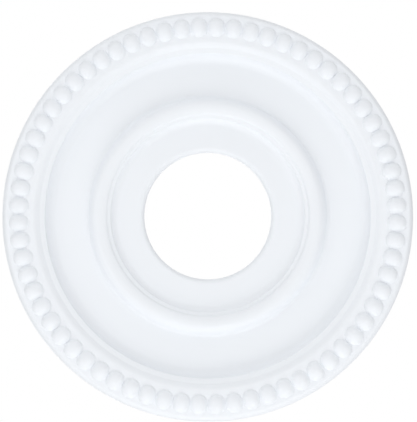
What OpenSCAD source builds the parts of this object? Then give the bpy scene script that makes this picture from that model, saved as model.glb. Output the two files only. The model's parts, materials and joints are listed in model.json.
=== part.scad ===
// Ceiling rose: one cast piece, back face on z = 0, relief towards -Z.
// All lengths are in millimetres. The profile is given by radii from the
// axis and by heights measured down from the ceiling plane.

/* [Overall] */
// outside diameter of the rose
outer_d = 328; // [324:1:400]
// diameter of the central hole
hole_d = 102; // [84:1:106]
// height of the straight outer edge at the ceiling
edge_h = 10; // [8:0.5:12]
// width of the rounded outer shoulder
shoulder_w = 4.9; // [4:0.1:5.6]

/* [Collar] */
// height of the flat collar round the hole
collar_h = 7; // [5.6:0.1:8.2]
// radius of the rounded lip of the hole
lip_r = 4; // [3:0.1:4.8]

/* [Inner ring] */
// radius at which the ring's inner hollow starts
ring_in_r = 72; // [70:0.1:72.8]
// width of the ring's inner hollow
ring_hollow_w = 5.7; // [4.8:0.1:6.8]
// rise of the ring's inner hollow
ring_hollow_h = 4.4; // [3.7:0.1:5.2]
// width of the leaning fillet above the ring's hollow
ring_fillet_w = 2.5; // [2.1:0.1:3]
// rise of the ring's fillet across its width
ring_fillet_rise = 0.8; // [0.6:0.1:1]
// width of the small step above the ring's fillet
ring_step_w = 1.2; // [1:0.1:1.4]
// height of the small step above the ring's fillet
ring_step_h = 1.8; // [1.5:0.1:2.1]
// radius of the ring's crest
ring_crest_r = 86.6; // [85:0.1:88]
// height of the ring's crest
ring_h = 15.4; // [14.4:0.1:18.4]
// width of the round that falls from the crest to the foot
ring_face_w = 7.6; // [6.4:0.1:9.2]
// width of the small hollow at the ring's foot
foot_w = 2.8; // [2.3:0.1:3.4]
// rise of the small hollow at the ring's foot
foot_h = 1.6; // [1.3:0.1:2]

/* [Field] */
// height of the flat field
field_h = 6; // [5:0.1:7.2]

/* [Rim] */
// radius at which the rim's hollow starts
rim_in_r = 121.8; // [110:0.1:122.6]
// width of the rim's hollow
rim_hollow_w = 8; // [6.7:0.1:9.6]
// rise of the rim's hollow
rim_hollow_h = 8.6; // [7.2:0.1:10.3]
// width of the leaning fillet above the rim's hollow
rim_fillet_w = 4.2; // [3.5:0.1:5]
// rise of the rim's fillet across its width
rim_fillet_rise = 1.4; // [1.2:0.1:1.7]
// radius at which the flat bed of the beads starts
bed_r = 139.4; // [138.4:0.1:140.4]
// height of the flat bed under the beads
bed_h = 19; // [17.5:0.1:22.8]

/* [Beads] */
// number of beads round the rim
bead_n = 68; // [60:1:72]
// distance from the outer edge to the middle of a bead
bead_inset = 13.8; // [13.5:0.1:14.5]
// radial length of a bead
bead_len = 15.8; // [13.2:0.1:16.4]
// width of a bead as a share of the spacing
bead_fill = 0.985; // [0.85:0.005:0.99]
// height of a bead above its bed
bead_h = 4.2; // [3.5:0.1:5]

/* [Hidden] */
turn_chords = 180;   // chords of a full turn of the section
arc_n = 8;           // chords in each quarter curve
crest_w = 1;         // level width on the ring's crest
face_turn = 64;      // degrees the ring's outer round turns through
foot_turn = 50;      // degrees the small foot hollow turns through
hollow_turn = 78;    // degrees each hollow turns through
bead_sunk = 0.02;    // how far a bead's middle lies under its bed

outer_r = outer_d / 2;
hole_r = hole_d / 2;
bead_r = outer_r - bead_inset;
pitch = 360 / bead_n;

// concave curve: starts level at [r, h], ends steep w further out, t higher
function hollow(r, h, w, t, turn) =
    [for (i = [0 : arc_n])
        let (a = turn * i / arc_n)
        [r + w * sin(a) / sin(turn), h + t * (1 - cos(a)) / (1 - cos(turn))]];

// convex curve: starts level at [r, h], falls steeply to w further out
function falling_round(r, h, w, t, turn) = hollow(r, h, w, -t, turn);

// convex quarter: starts upright at [r, h], ends level w further out
function rising_round(r, h, w, t) =
    [for (i = [0 : arc_n])
        let (a = 90 * i / arc_n)
        [r + w * (1 - cos(a)), h + t * sin(a)]];

// gentle rise from [r0, h0] that flattens out at [r1, h1]
function crown(r0, h0, r1, h1) =
    [for (i = [0 : arc_n])
        [r0 + (r1 - r0) * i / arc_n, h0 + (h1 - h0) * sin(90 * i / arc_n)]];

function reversed(pts) = [for (i = [len(pts) - 1 : -1 : 0]) pts[i]];
function below(pts) = [for (p = pts) [p[0], -p[1]]];

ring_fillet_r = ring_in_r + ring_hollow_w + ring_fillet_w;
ring_fillet_h = collar_h + ring_hollow_h + ring_fillet_rise;
face_r = ring_crest_r + crest_w;
foot_r = face_r + ring_face_w + foot_w;
rim_fillet_r = rim_in_r + rim_hollow_w + rim_fillet_w;
rim_fillet_h = field_h + rim_hollow_h + rim_fillet_rise;

profile = concat(
    [[hole_r, 0]],
    rising_round(hole_r, collar_h - lip_r, lip_r, lip_r),
    hollow(ring_in_r, collar_h, ring_hollow_w, ring_hollow_h, hollow_turn),
    [[ring_fillet_r, ring_fillet_h]],
    crown(ring_fillet_r + ring_step_w, ring_fillet_h + ring_step_h, ring_crest_r, ring_h),
    falling_round(face_r, ring_h, ring_face_w, ring_h - field_h - foot_h, face_turn),
    reversed(hollow(foot_r, field_h, -foot_w, foot_h, foot_turn)),
    hollow(rim_in_r, field_h, rim_hollow_w, rim_hollow_h, hollow_turn),
    crown(rim_fillet_r, rim_fillet_h, bed_r, bed_h),
    falling_round(outer_r - shoulder_w, bed_h, shoulder_w, bed_h - edge_h, 90),
    [[outer_r, 0]]);

module body() {
    rotate_extrude($fn = turn_chords) polygon(below(profile));
}

module bead() {
    half_w = bead_r * sin(pitch / 2) * bead_fill;
    translate([bead_r, 0, -bed_h + bead_sunk])
        scale([bead_len / 2, half_w, bead_h + bead_sunk]) sphere(r = 1, $fn = 48);
}

module rose() {
    color([0.93, 0.94, 0.95])
    union() {
        body();
        for (i = [0 : bead_n - 1]) rotate([0, 0, (i + 0.5) * pitch]) bead();
    }
}

rose();
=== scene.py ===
"""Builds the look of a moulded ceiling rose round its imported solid: one casting with a beaded rim."""

import json
import math

import bpy
import numpy as np
from bpy.props import (
    FloatProperty,
    FloatVectorProperty,
    IntProperty,
    PointerProperty,
)
from bpy.types import Operator, Panel, PropertyGroup
from mathutils import Matrix, Vector


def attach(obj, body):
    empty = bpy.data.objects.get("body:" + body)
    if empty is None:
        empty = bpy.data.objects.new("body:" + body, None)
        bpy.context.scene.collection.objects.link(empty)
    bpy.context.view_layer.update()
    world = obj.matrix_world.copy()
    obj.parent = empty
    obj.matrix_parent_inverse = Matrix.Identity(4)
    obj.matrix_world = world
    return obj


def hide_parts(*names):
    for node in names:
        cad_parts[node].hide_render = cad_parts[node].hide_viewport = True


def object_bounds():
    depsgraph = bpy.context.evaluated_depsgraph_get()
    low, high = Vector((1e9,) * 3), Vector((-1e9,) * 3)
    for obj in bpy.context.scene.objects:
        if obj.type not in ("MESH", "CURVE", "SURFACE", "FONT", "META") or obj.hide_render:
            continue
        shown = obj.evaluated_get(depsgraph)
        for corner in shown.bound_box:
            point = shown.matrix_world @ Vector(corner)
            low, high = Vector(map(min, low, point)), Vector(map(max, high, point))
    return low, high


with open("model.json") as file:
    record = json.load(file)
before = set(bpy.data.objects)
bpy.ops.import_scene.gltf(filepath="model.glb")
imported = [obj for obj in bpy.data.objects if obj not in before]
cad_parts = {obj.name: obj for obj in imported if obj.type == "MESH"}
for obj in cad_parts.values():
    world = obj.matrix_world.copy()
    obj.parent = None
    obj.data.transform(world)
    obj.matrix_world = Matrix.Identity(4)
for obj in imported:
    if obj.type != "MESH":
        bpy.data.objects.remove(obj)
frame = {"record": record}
CAD_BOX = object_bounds()

bl_info = {
    "name": "Ceiling Rose",
    "version": (1, 0, 0),
    "blender": (4, 5, 0),
    "location": "View3D > Sidebar > Rose",
    "description": "A moulded ceiling rose with a beaded rim, a raised ring and a hole for a lamp",
    "category": "Add Mesh",
}

NODE = "rose"
MM = 0.001
OUTER_R = (CAD_BOX[1].x - CAD_BOX[0].x) / 2
MOUNTS = {mount["name"]: mount for mount in frame["record"]["mounts"]}
HOLE_R = MOUNTS["centre_hole"]["dims"]["r_mm"] * MM

# the section's curves: points in each kind, degrees that each kind turns through, and
# the level width on the ring's crest
CURVE_POINTS = 40
CROWN_POINTS = 30
HOLLOW_TURN = 78
FACE_TURN = 64
FOOT_TURN = 50
CREST_W = 1 * MM

# the section's rows: the spacing while edges are softened, the turn from one row to the
# next, the least and greatest gap between rows, how fast a gap may grow along the outline,
# and how near to the beads' strip a row may come
SOFTEN_STEP = 0.08 * MM
ROW_TURN = math.radians(8)
CLOSEST_ROWS = 0.22 * MM
WIDEST_ROWS = 7 * MM
ROW_GROWTH = 0.45
ROW_CLEARANCE = 0.25 * MM

# one slice: faces across it and along a bead's side, rings on the bed as shares of the way
# to the bead's foot, rings up the bead, the rise in degrees of the last ring, and the gap
# that still joins one slice to the next
COLUMNS = 6
SIDE_STEPS = 10
BED_RINGS = (0.6, 0.9)
DOME_RINGS = 11
TOP_RISE = 84
JOIN_GAP = 0.02 * MM

# heights between which the paint gives way to the bare back
PAINT_END = -0.9 * MM
BARE_START = -0.3 * MM

# half the width of the floor, in metres
FLOOR_HALF = 60.0


# ---------------------------------------------------------------- settings


def length(name, description, default_mm):
    """A length setting that is given in millimetres and kept in metres."""
    return FloatProperty(
        name=name,
        description=description,
        default=default_mm * MM,
        precision=5,
        unit="LENGTH",
    )


class RoseSizes(PropertyGroup):
    """Radii from the axis, and heights measured down from the ceiling."""

    outer_r: length("Outer radius", "Radius of the outer edge", OUTER_R / MM)
    edge_h: length("Edge height", "Height of the straight outer edge", 10)
    hole_r: length("Hole radius", "Radius of the central hole", HOLE_R / MM)
    lip_r: length("Lip radius", "Rounding of the hole's lip", 4)
    collar_h: length("Collar height", "Height of the flat collar", 7)
    ring_in_r: length("Ring inner radius", "Where the ring's hollow starts", 72.0)
    ring_hollow_w: length("Ring hollow width", "Width of the ring's hollow", 5.7)
    ring_hollow_h: length("Ring hollow rise", "Rise of the ring's hollow", 4.4)
    ring_fillet_w: length("Ring fillet width", "Width of the leaning fillet on the ring", 2.5)
    ring_fillet_rise: length("Ring fillet rise", "Rise of the fillet on the ring", 0.8)
    ring_step_w: length("Ring step width", "Width of the small step on the ring", 1.2)
    ring_step_h: length("Ring step height", "Height of the small step on the ring", 1.8)
    ring_crest_r: length("Ring crest radius", "Radius of the ring's crest", 86.6)
    ring_h: length("Ring height", "Height of the ring's crest", 15.4)
    ring_face_w: length("Ring face width", "Width of the ring's outer round", 7.6)
    foot_w: length("Foot width", "Width of the small hollow at the ring's foot", 2.8)
    foot_h: length("Foot rise", "Rise of the small hollow at the ring's foot", 1.6)
    field_h: length("Field height", "Height of the flat field", 6)
    rim_in_r: length("Rim inner radius", "Where the rim's hollow starts", 121.8)
    rim_hollow_w: length("Rim hollow width", "Width of the rim's hollow", 8)
    rim_hollow_h: length("Rim hollow rise", "Rise of the rim's hollow", 8.6)
    rim_fillet_w: length("Rim fillet width", "Width of the leaning fillet on the rim", 4.2)
    rim_fillet_rise: length("Rim fillet rise", "Rise of the fillet on the rim", 1.4)
    bed_r: length("Bed radius", "Where the flat bed of the beads starts", 139.4)
    bed_h: length("Bead bed height", "Height of the flat bed of the beads", 19)
    shoulder_w: length("Shoulder width", "Width of the rounded shoulder", 4.9)
    softness: length("Edge softness", "How far the casting's edges are rounded", 0.27)


class BeadSizes(PropertyGroup):
    """One bead and how often it repeats."""

    count: IntProperty(name="Count", description="Beads round the rim", default=68)
    inset: length("Inset", "From the outer edge to the middle of a bead", 13.8)
    long: length("Length", "Radial length of a bead at its bed", 15.8)
    high: length("Height", "Height of a bead above its bed", 4.2)
    sink: length("Sink", "How far a bead's middle lies under its bed", 2.6)
    share: FloatProperty(
        name="Share",
        description="Width of a bead at its bed as a share of the spacing",
        default=0.99,
    )
    squareness: FloatProperty(
        name="Squareness",
        description="Exponent of the bead's outline, 2 for an ellipse",
        default=2.2,
    )
    margin: length("Margin", "Flat bed kept at both ends of a bead", 0.9)


class FinishColours(PropertyGroup):
    """Colours of the painted face and of the bare back."""

    paint: FloatVectorProperty(
        name="Paint",
        description="Matte paint on the face",
        default=(0.865, 0.892, 0.928),
        subtype="COLOR",
    )
    paint_thin: FloatVectorProperty(
        name="Thin paint",
        description="Where the paint lies a little thinner",
        default=(0.850, 0.876, 0.910),
        subtype="COLOR",
    )
    casting: FloatVectorProperty(
        name="Bare casting",
        description="The unpainted back",
        default=(0.800, 0.785, 0.745),
        subtype="COLOR",
    )


class StageSettings(PropertyGroup):
    """Floor, lamps and camera."""

    floor_z: length("Floor", "Height of the floor under the ceiling", -2400)
    floor_colour: FloatVectorProperty(
        name="Floor colour",
        description="Pale floor",
        default=(0.90, 0.90, 0.90),
        subtype="COLOR",
    )
    floor_white: FloatProperty(
        name="Floor white",
        description="Share of plain white that the camera sees in the floor",
        default=0.85,
    )
    sky: FloatProperty(name="Sky", description="Light from all round", default=0.585)
    camera_gap: length("Camera distance", "From the ceiling to the camera", 1312)
    lens: FloatProperty(name="Lens", description="Focal length in millimetres", default=138.95)
    aim: FloatVectorProperty(
        name="Aim",
        description="Point on the ceiling that the camera looks at",
        default=(0.0006, -0.0041, 0),
        precision=5,
        subtype="TRANSLATION",
    )
    tilt: FloatProperty(
        name="Tilt",
        description="How far the camera stands off the axis, towards +Y",
        default=math.radians(4.5),
        subtype="ANGLE",
    )


# ---------------------------------------------------------------- profile


def hollow(r, h, w, t, turn=HOLLOW_TURN):
    """A concave curve that starts level and ends steep, w further out and t lower."""
    a = np.radians(np.linspace(0, turn, CURVE_POINTS))
    end = math.radians(turn)
    return np.column_stack(
        (r + w * np.sin(a) / math.sin(end), h + t * (1 - np.cos(a)) / (1 - math.cos(end)))
    )


def falling_round(r, h, w, t, turn=90):
    """A convex curve that starts level and drops steeply back towards the ceiling."""
    a = np.radians(np.linspace(0, turn, CURVE_POINTS))
    end = math.radians(turn)
    return np.column_stack(
        (r + w * np.sin(a) / math.sin(end), h - t * (1 - np.cos(a)) / (1 - math.cos(end)))
    )


def rising_round(r, h, w, t):
    """A convex curve that starts upright and ends level."""
    a = np.radians(np.linspace(0, 90, CURVE_POINTS))
    return np.column_stack((r + w * (1 - np.cos(a)), h + t * np.sin(a)))


def crown(r0, h0, r1, h1):
    """A gentle rise that flattens out at its crest."""
    s = np.linspace(0, 1, CROWN_POINTS)
    return np.column_stack((r0 + (r1 - r0) * s, h0 + (h1 - h0) * np.sin(s * math.pi / 2)))


def crisp_profile(s):
    """The closed outline of the rose's section, from the hole's back edge outwards."""
    ring_fillet_r = s.ring_in_r + s.ring_hollow_w + s.ring_fillet_w
    ring_fillet_h = s.collar_h + s.ring_hollow_h + s.ring_fillet_rise
    rim_fillet_r = s.rim_in_r + s.rim_hollow_w + s.rim_fillet_w
    rim_fillet_h = s.field_h + s.rim_hollow_h + s.rim_fillet_rise
    face_r = s.ring_crest_r + CREST_W
    face_drop = s.ring_h - s.field_h - s.foot_h
    foot_r = face_r + s.ring_face_w + s.foot_w
    parts = [
        [(s.hole_r, 0)],
        rising_round(s.hole_r, s.collar_h - s.lip_r, s.lip_r, s.lip_r),
        hollow(s.ring_in_r, s.collar_h, s.ring_hollow_w, s.ring_hollow_h),
        [(ring_fillet_r, ring_fillet_h)],
        crown(
            ring_fillet_r + s.ring_step_w,
            ring_fillet_h + s.ring_step_h,
            s.ring_crest_r,
            s.ring_h,
        ),
        falling_round(face_r, s.ring_h, s.ring_face_w, face_drop, FACE_TURN),
        hollow(foot_r, s.field_h, -s.foot_w, s.foot_h, FOOT_TURN)[::-1],
        hollow(s.rim_in_r, s.field_h, s.rim_hollow_w, s.rim_hollow_h),
        [(rim_fillet_r, rim_fillet_h)],
        crown(rim_fillet_r, rim_fillet_h, s.bed_r, s.bed_h),
        falling_round(
            s.outer_r - s.shoulder_w, s.bed_h, s.shoulder_w, s.bed_h - s.edge_h
        ),
        [(s.outer_r, 0)],
    ]
    return np.vstack([np.asarray(p, dtype=float) for p in parts])


def even_points(points, step):
    """Points a step apart along a closed outline."""
    loop = np.vstack((points, points[:1]))
    gaps = np.hypot(*np.diff(loop, axis=0).T)
    keep = np.concatenate(([True], gaps > 1e-9))
    loop = loop[keep]
    run = np.concatenate(([0], np.cumsum(np.hypot(*np.diff(loop, axis=0).T))))
    count = int(round(run[-1] / step))
    at = np.arange(count) * run[-1] / count
    return np.column_stack([np.interp(at, run, loop[:, k]) for k in (0, 1)])


def softened(points, step, sigma):
    """The outline with its corners rounded, as a Gaussian blur along its length."""
    reach = int(math.ceil(3 * sigma / step))
    weights = np.exp(-0.5 * (np.arange(-reach, reach + 1) * step / sigma) ** 2)
    weights /= weights.sum()
    out = np.zeros_like(points)
    for k, w in zip(range(-reach, reach + 1), weights):
        out += w * np.roll(points, k, axis=0)
    return out


def row_spacing(turning, size):
    """How far apart rows may lie at each point: close where the outline turns."""
    sharp = turning / np.maximum(size, 1e-9)
    allowed = np.clip(ROW_TURN / np.maximum(sharp, 1e-6), CLOSEST_ROWS, WIDEST_ROWS)
    count = len(size)
    for _ in range(2):
        for i in range(1, count):
            allowed[i] = min(allowed[i], allowed[i - 1] + ROW_GROWTH * size[i])
        allowed[0] = min(allowed[0], allowed[-1] + ROW_GROWTH * size[0])
        for i in range(count - 2, -1, -1):
            allowed[i] = min(allowed[i], allowed[i + 1] + ROW_GROWTH * size[i])
        allowed[-1] = min(allowed[-1], allowed[0] + ROW_GROWTH * size[-1])
    return allowed


def thinned(points):
    """Picks the points a lathe needs: close where the outline turns, far apart on flats."""
    ahead = np.roll(points, -1, axis=0) - points
    heading = np.unwrap(np.arctan2(ahead[:, 1], ahead[:, 0]))
    turning = np.abs(np.diff(heading, append=heading[-1]))
    size = np.hypot(*ahead.T)
    load = size / row_spacing(turning, size)
    total = np.concatenate(([0], np.cumsum(load)))
    rows = int(round(total[-1]))
    want = np.arange(rows) * total[-1] / rows
    picked = sorted({int(np.searchsorted(total, v)) % len(points) for v in want})
    return points[picked]


def lathe_rows(sizes, beads):
    """The section's points from the beads' outer side, round the back, to their inner side."""
    even = even_points(crisp_profile(sizes), SOFTEN_STEP)
    rows = thinned(softened(even, SOFTEN_STEP, sizes.softness))
    middle = sizes.outer_r - beads.inset
    half = beads.long / 2 + beads.margin
    on_face = rows[:, 1] > sizes.bed_h / 2
    under = on_face & (np.abs(rows[:, 0] - middle) < half + ROW_CLEARANCE)
    first = int(np.argmax(under))
    last = len(under) - 1 - int(np.argmax(under[::-1]))
    outer_end = [(middle + half, sizes.bed_h)]
    inner_end = [(middle - half, sizes.bed_h)]
    return np.vstack((outer_end, rows[last + 1 :], rows[:first], inner_end))


# ---------------------------------------------------------------- one slice


class BeadDome:
    """A fat oval dome over its bed, in the slice's own x, outwards, and y, sideways."""

    def __init__(self, sizes, beads):
        half_pitch = math.pi / beads.count
        self.middle = sizes.outer_r - beads.inset
        self.half = beads.long / 2 + beads.margin
        self.bed_h = sizes.bed_h
        self.side_slope = math.tan(half_pitch)
        self.high = beads.high
        self.sink = beads.sink
        self.peak = beads.high + beads.sink
        self.swell = (1 - (beads.sink / self.peak) ** 2) ** 0.5
        self.long_half = beads.long / 2
        self.wide_half = self.middle * math.sin(half_pitch) * beads.share
        self.power = beads.squareness

    def height(self, x, y):
        """Height above the bed, below nought outside the bead."""
        n = self.power
        reach = abs(x / self.long_half) ** n + abs(y / self.wide_half) ** n
        s = reach ** (1 / n) * self.swell
        return self.peak * max(0, 1 - s * s) ** 0.5 - self.sink

    def foot(self, x, y):
        """The point of the bead's outline that lies in the direction of x, y."""
        t = math.atan2(y / self.wide_half, x / self.long_half)
        c, s = math.cos(t), math.sin(t)
        return (
            self.long_half * math.copysign(abs(c) ** (2 / self.power), c),
            self.wide_half * math.copysign(abs(s) ** (2 / self.power), s),
        )

    def point(self, x, y):
        """A point kept inside the slice, at the height of the bead there."""
        limit = (self.middle + x) * self.side_slope
        y = max(-limit, min(limit, y))
        return self.middle + x, y, -(self.bed_h + max(0, self.height(x, y)))

    def rings(self, start):
        """Rings of points from the rectangle round the bead up to near its top."""
        feet = [self.foot(x, y) for x, y in start]
        for share in BED_RINGS:
            yield [
                self.point(x0 + (x1 - x0) * share, y0 + (y1 - y0) * share)
                for (x0, y0), (x1, y1) in zip(start, feet)
            ]
        first_rise = math.degrees(math.asin(self.sink / self.peak))
        for rise in np.linspace(first_rise, TOP_RISE, DOME_RINGS):
            shrink = math.cos(math.radians(rise)) / self.swell
            yield [self.point(x * shrink, y * shrink) for x, y in feet]


def turned_part(rows, half_pitch):
    """Points, a grid of their numbers, and faces of the turned section in one slice."""
    angles = np.linspace(-half_pitch, half_pitch, COLUMNS + 1)
    verts = [(r * math.cos(a), r * math.sin(a), -h) for r, h in rows for a in angles]
    wide = COLUMNS + 1
    grid = [range(i * wide, (i + 1) * wide) for i in range(len(rows))]
    faces = [
        (near[k], near[k + 1], far[k + 1], far[k])
        for near, far in zip(grid, grid[1:])
        for k in range(COLUMNS)
    ]
    return verts, grid, faces


def side_points(verts, dome, angle, radii):
    """Adds points along one side of the slice, and gives their numbers."""
    first = len(verts)
    verts += [(r * math.cos(angle), r * math.sin(angle), -dome.bed_h) for r in radii]
    return range(first, len(verts))


def bead_edge(verts, grid, dome, half_pitch):
    """Numbers of the points round the bead, shared with the turned section at both ends."""
    side = np.linspace(dome.middle - dome.half, dome.middle + dome.half, SIDE_STEPS + 1)
    side = side[1:-1]
    edge = [*grid[-1], *side_points(verts, dome, half_pitch, side)]
    return edge + [*reversed(grid[0]), *side_points(verts, dome, -half_pitch, side[::-1])]


def slice_mesh(sizes, beads):
    """One slice of the rose, as wide as one bead: the turned section and the bead."""
    half_pitch = math.pi / beads.count
    dome = BeadDome(sizes, beads)
    verts, grid, faces = turned_part(lathe_rows(sizes, beads), half_pitch)
    low = bead_edge(verts, grid, dome, half_pitch)
    count = len(low)
    start = [(verts[i][0] - dome.middle, verts[i][1]) for i in low]
    for i, (x, y) in zip(low, start):
        verts[i] = dome.point(x, y)
    for ring in dome.rings(start):
        high = range(len(verts), len(verts) + count)
        verts += ring
        for k in range(count):
            after = (k + 1) % count
            faces.append((low[k], low[after], high[after], high[k]))
        low = high
    tip = len(verts)
    verts.append((dome.middle, 0, -(dome.bed_h + dome.high)))
    faces += [(low[k], low[(k + 1) % count], tip) for k in range(count)]

    mesh = bpy.data.meshes.new("rose_slice")
    mesh.from_pydata(verts, [], faces)
    mesh.validate()
    return mesh


# ---------------------------------------------------------------- geometry nodes


class Tree:
    """Adds nodes to a tree by type, with their settings first and then their sockets."""

    def __init__(self, tree):
        self.tree = tree

    def node(self, kind, settings=None, **sockets):
        """A new node, with values or links for the sockets that are named."""
        made = self.tree.nodes.new(kind)
        for key, value in (settings or {}).items():
            setattr(made, key, value)
        for key, value in sockets.items():
            self.feed(made, key, value)
        return made

    def feed(self, made, key, value):
        """Links or sets one socket, given by its name or by its place, as in i0."""
        if key[0] == "i" and key[1:].isdigit():
            socket = made.inputs[int(key[1:])]
        else:
            name = key.replace("_", " ")
            socket = next(s for s in made.inputs if s.name == name and s.enabled)
        if isinstance(value, Value):
            value = value.socket
        if isinstance(value, bpy.types.NodeSocket):
            self.tree.links.new(value, socket)
        else:
            socket.default_value = value


class Value:
    """A number on a socket that Python's own operators work on."""

    def __init__(self, tree, socket):
        self.tree = tree
        self.socket = socket

    def maths(self, operation, *others, clamp=False):
        """The result of a Math node on this number and others."""
        settings = {"operation": operation, "use_clamp": clamp}
        made = self.tree.node("ShaderNodeMath", settings)
        for k, other in enumerate((self, *others)):
            self.tree.feed(made, "i%d" % k, other)
        return Value(self.tree, made.outputs[0])

    def __add__(self, other):
        return self.maths("ADD", other)

    def __mul__(self, other):
        return self.maths("MULTIPLY", other)

    def __truediv__(self, other):
        return self.maths("DIVIDE", other)

    __radd__ = __add__
    __rmul__ = __mul__


def repeat_tree():
    """Geometry Nodes that turn one slice into the whole round, joined into one skin."""
    tree = bpy.data.node_groups.new("Repeat Round Axis", "GeometryNodeTree")
    face = tree.interface
    face.new_socket("Slice", in_out="INPUT", socket_type="NodeSocketGeometry")
    face.new_socket("Count", in_out="INPUT", socket_type="NodeSocketInt")
    face.new_socket("Join Distance", in_out="INPUT", socket_type="NodeSocketFloat")
    face.new_socket("Material", in_out="INPUT", socket_type="NodeSocketMaterial")
    face.new_socket("Round", in_out="OUTPUT", socket_type="NodeSocketGeometry")
    t = Tree(tree)
    given = t.node("NodeGroupInput").outputs
    places = t.node("GeometryNodeMeshLine", Count=given["Count"], Offset=(0, 0, 0))
    index = Value(t, t.node("GeometryNodeInputIndex").outputs[0])
    angle = (index + 0.5) * (2 * math.pi) / Value(t, given["Count"])
    turn = t.node("ShaderNodeCombineXYZ", Z=angle)
    copies = t.node(
        "GeometryNodeInstanceOnPoints",
        Points=places.outputs[0],
        Instance=given["Slice"],
        Rotation=turn.outputs[0],
    )
    real = t.node("GeometryNodeRealizeInstances", Geometry=copies.outputs[0])
    joined = t.node(
        "GeometryNodeMergeByDistance",
        Geometry=real.outputs[0],
        Distance=given["Join Distance"],
    )
    smooth = t.node("GeometryNodeSetShadeSmooth", Geometry=joined.outputs[0])
    painted = t.node(
        "GeometryNodeSetMaterial", Geometry=smooth.outputs[0], Material=given["Material"]
    )
    t.node("NodeGroupOutput", Round=painted.outputs[0])
    return tree


def run_nodes(obj, tree, inputs, name):
    """Runs a tree on an object and keeps the result as a plain mesh."""
    modifier = obj.modifiers.new(tree.name, "NODES")
    modifier.node_group = tree
    for item in tree.interface.items_tree:
        if item.item_type == "SOCKET" and item.name in inputs:
            modifier[item.identifier] = inputs[item.name]
    seen = obj.evaluated_get(bpy.context.evaluated_depsgraph_get())
    mesh = bpy.data.meshes.new_from_object(seen)
    mesh.name = name
    obj.modifiers.remove(modifier)
    return mesh


# ---------------------------------------------------------------- finishes


def casting_material(colours):
    """Matte paint on the moulded face, and the bare casting on the back."""
    material = bpy.data.materials.new("painted casting")
    material.use_nodes = True
    material.node_tree.nodes.clear()
    t = Tree(material.node_tree)
    where = t.node("ShaderNodeTexCoord").outputs["Object"]
    depth = Value(t, t.node("ShaderNodeSeparateXYZ", Vector=where).outputs["Z"])

    def noise(scale, detail, rough=0.5):
        made = t.node(
            "ShaderNodeTexNoise",
            Vector=where,
            Scale=scale,
            Detail=detail,
            Roughness=rough,
        )
        return Value(t, made.outputs["Fac"])

    fade = t.node(
        "ShaderNodeMapRange",
        {"interpolation_type": "SMOOTHSTEP"},
        Value=depth,
        From_Min=PAINT_END,
        From_Max=BARE_START,
    )
    back = Value(t, fade.outputs["Result"])
    cloud = noise(9.0, 3.0)
    grain = noise(850.0, 2.0, 0.6)
    dimple = noise(260.0, 2.0)
    paint = t.node(
        "ShaderNodeMix",
        {"data_type": "RGBA"},
        i0=cloud.maths("SUBTRACT", 0.25, clamp=True) * 1.4,
        i6=(*colours.paint, 1),
        i7=(*colours.paint_thin, 1),
    )
    skin = t.node(
        "ShaderNodeMix",
        {"data_type": "RGBA"},
        i0=back * (0.75 + cloud * 0.4),
        i6=paint.outputs[2],
        i7=(*colours.casting, 1),
    )
    rough = 0.52 + grain * 0.08 + back * 0.2
    relief = grain * 0.35 + dimple * 0.65 + back * (noise(120.0, 4.0, 0.7) * 3)
    bump = t.node("ShaderNodeBump", Strength=0.25, Distance=0.00012, Height=relief)
    shader = t.node(
        "ShaderNodeBsdfPrincipled",
        Base_Color=skin.outputs[2],
        Roughness=rough,
        Normal=bump.outputs[0],
        IOR=1.45,
    )
    t.node("ShaderNodeOutputMaterial", Surface=shader.outputs[0])
    return material


def surround(t):
    """Whether the surround is seen: by the camera, or in a polished or clear surface."""
    ray = t.node("ShaderNodeLightPath").outputs
    seen = Value(t, ray["Is Camera Ray"]).maths("MAXIMUM", ray["Is Glossy Ray"])
    return seen.maths("MAXIMUM", ray["Is Transmission Ray"])


def floor_material(colour, white):
    """A pale, faintly mottled floor that is seen against a white surround."""
    material = bpy.data.materials.new("pale floor")
    material.use_nodes = True
    material.node_tree.nodes.clear()
    t = Tree(material.node_tree)
    where = t.node("ShaderNodeTexCoord").outputs["Object"]
    cloud = t.node("ShaderNodeTexNoise", Vector=where, Scale=1.5, Detail=2.0)
    tone = t.node(
        "ShaderNodeMix",
        {"data_type": "RGBA"},
        i0=cloud.outputs["Fac"],
        i6=(*colour, 1),
        i7=(*[c * 0.985 for c in colour], 1),
    )
    matte = t.node(
        "ShaderNodeBsdfPrincipled", Base_Color=tone.outputs[2], Roughness=0.7
    )
    plain = t.node("ShaderNodeEmission", Color=(1, 1, 1, 1), Strength=1.0)
    shader = t.node(
        "ShaderNodeMixShader",
        i0=surround(t) * white,
        i1=matte.outputs[0],
        i2=plain.outputs[0],
    )
    t.node("ShaderNodeOutputMaterial", Surface=shader.outputs[0])
    return material


# ---------------------------------------------------------------- operators


def link(name, data):
    """A new object at the origin that holds a mesh, a lamp or a camera."""
    obj = bpy.data.objects.new(name, data)
    bpy.context.scene.collection.objects.link(obj)
    return obj


class ROSE_OT_casting(Operator):
    """Make the whole casting: rim, beads, field, ring and collar in one skin"""

    bl_idname = "rose.casting"
    bl_label = "Casting"

    def execute(self, context):
        scene = context.scene
        wedge = link("rose_slice", slice_mesh(scene.rose_sizes, scene.rose_beads))
        inputs = {
            "Count": scene.rose_beads.count,
            "Join Distance": JOIN_GAP,
            "Material": casting_material(scene.rose_colours),
        }
        mesh = run_nodes(wedge, repeat_tree(), inputs, "rose_casting")
        bpy.data.objects.remove(wedge)
        piece = link("rose_casting", mesh)
        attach(piece, "root")
        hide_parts(NODE)
        return {"FINISHED"}


LAMPS = (
    # name, place in metres, size in metres, watts
    ("key", (0.00, 1.827, -0.813), 1.8, 12.4),
    ("right key", (0.982, 0.982, -1.438), 1.8, 7.6),
    ("far fill", (0.00, -1.827, -0.813), 1.8, 7.6),
    ("left fill", (-1.389, 0.00, -1.438), 1.8, 8.0),
    ("overhead", (-0.25, -0.20, 1.45), 1.6, 7.0),
)


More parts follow.
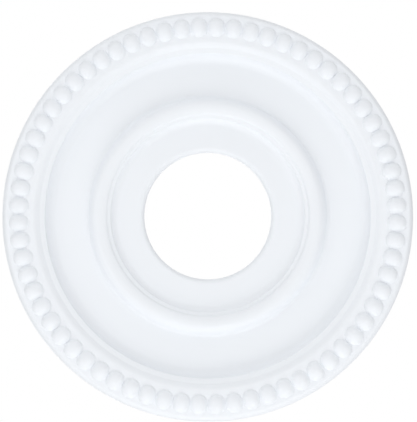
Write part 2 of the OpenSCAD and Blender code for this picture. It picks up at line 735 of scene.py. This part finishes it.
class ROSE_OT_stage(Operator):
    """Set the floor, the soft lamps, the white surround and the camera"""

    bl_idname = "rose.stage"
    bl_label = "Stage"

    def execute(self, context):
        scene = context.scene
        setting = scene.rose_stage
        scene.view_settings.view_transform = "Standard"
        self.floor(setting)
        self.sky(scene, setting)
        for name, place, size, power in LAMPS:
            self.lamp(name, Vector(place), size, power)
        self.camera(scene, setting)
        return {"FINISHED"}

    def floor(self, setting):
        corners = ((-1, -1), (1, -1), (1, 1), (-1, 1))
        points = [(x * FLOOR_HALF, y * FLOOR_HALF, setting.floor_z) for x, y in corners]
        mesh = bpy.data.meshes.new("floor")
        mesh.from_pydata(points, [], [(0, 1, 2, 3)])
        floor = link("floor", mesh)
        mesh.materials.append(floor_material(setting.floor_colour, setting.floor_white))

    def sky(self, scene, setting):
        world = bpy.data.worlds.new("studio")
        world.use_nodes = True
        world.node_tree.nodes.clear()
        t = Tree(world.node_tree)
        strength = surround(t) * (1 - setting.sky) + setting.sky
        light = t.node("ShaderNodeBackground", Color=(1, 1, 1, 1), Strength=strength)
        t.node("ShaderNodeOutputWorld", Surface=light.outputs[0])
        scene.world = world

    def lamp(self, name, place, size, power):
        data = bpy.data.lights.new(name, "AREA")
        data.shape = "DISK"
        data.size = size
        data.energy = power
        lamp = link(name, data)
        lamp.location = place
        lamp.visible_camera = False
        lamp.rotation_euler = (-place).to_track_quat("-Z", "Y").to_euler()

    def camera(self, scene, setting):
        data = bpy.data.cameras.new("camera")
        data.sensor_width = 36
        data.lens = setting.lens
        camera = link("camera", data)
        back = Vector((0, math.sin(setting.tilt), -math.cos(setting.tilt)))
        right = Vector((1, 0, 0))
        up = back.cross(right)
        turn = Matrix((right, up, back)).transposed().to_4x4()
        place = Vector(setting.aim) + back * setting.camera_gap
        camera.matrix_world = Matrix.Translation(place) @ turn
        data.clip_start = 0.01
        data.clip_end = 50
        scene.camera = camera


class ROSE_PT_panel(Panel):
    """Lists the rose's sizes, colours and operators"""

    bl_idname = "ROSE_PT_panel"
    bl_label = "Ceiling Rose"
    bl_space_type = "VIEW_3D"
    bl_region_type = "UI"
    bl_category = "Rose"

    def draw(self, context):
        scene = context.scene
        groups = (scene.rose_sizes, scene.rose_beads, scene.rose_colours, scene.rose_stage)
        for group in groups:
            box = self.layout.box()
            for key in group.__annotations__:
                box.prop(group, key)
        for operator in OPERATORS:
            self.layout.operator(operator.bl_idname)


GROUPS = {
    "rose_sizes": RoseSizes,
    "rose_beads": BeadSizes,
    "rose_colours": FinishColours,
    "rose_stage": StageSettings,
}
OPERATORS = (ROSE_OT_casting, ROSE_OT_stage)
CLASSES = (*GROUPS.values(), *OPERATORS, ROSE_PT_panel)


def register():
    for cls in CLASSES:
        bpy.utils.register_class(cls)
    for name, group in GROUPS.items():
        setattr(bpy.types.Scene, name, PointerProperty(type=group))


def unregister():
    for name in GROUPS:
        delattr(bpy.types.Scene, name)
    for cls in reversed(CLASSES):
        bpy.utils.unregister_class(cls)


def main():
    register()
    bpy.ops.rose.casting()
    bpy.ops.rose.stage()


if __name__ == "__main__":
    main()
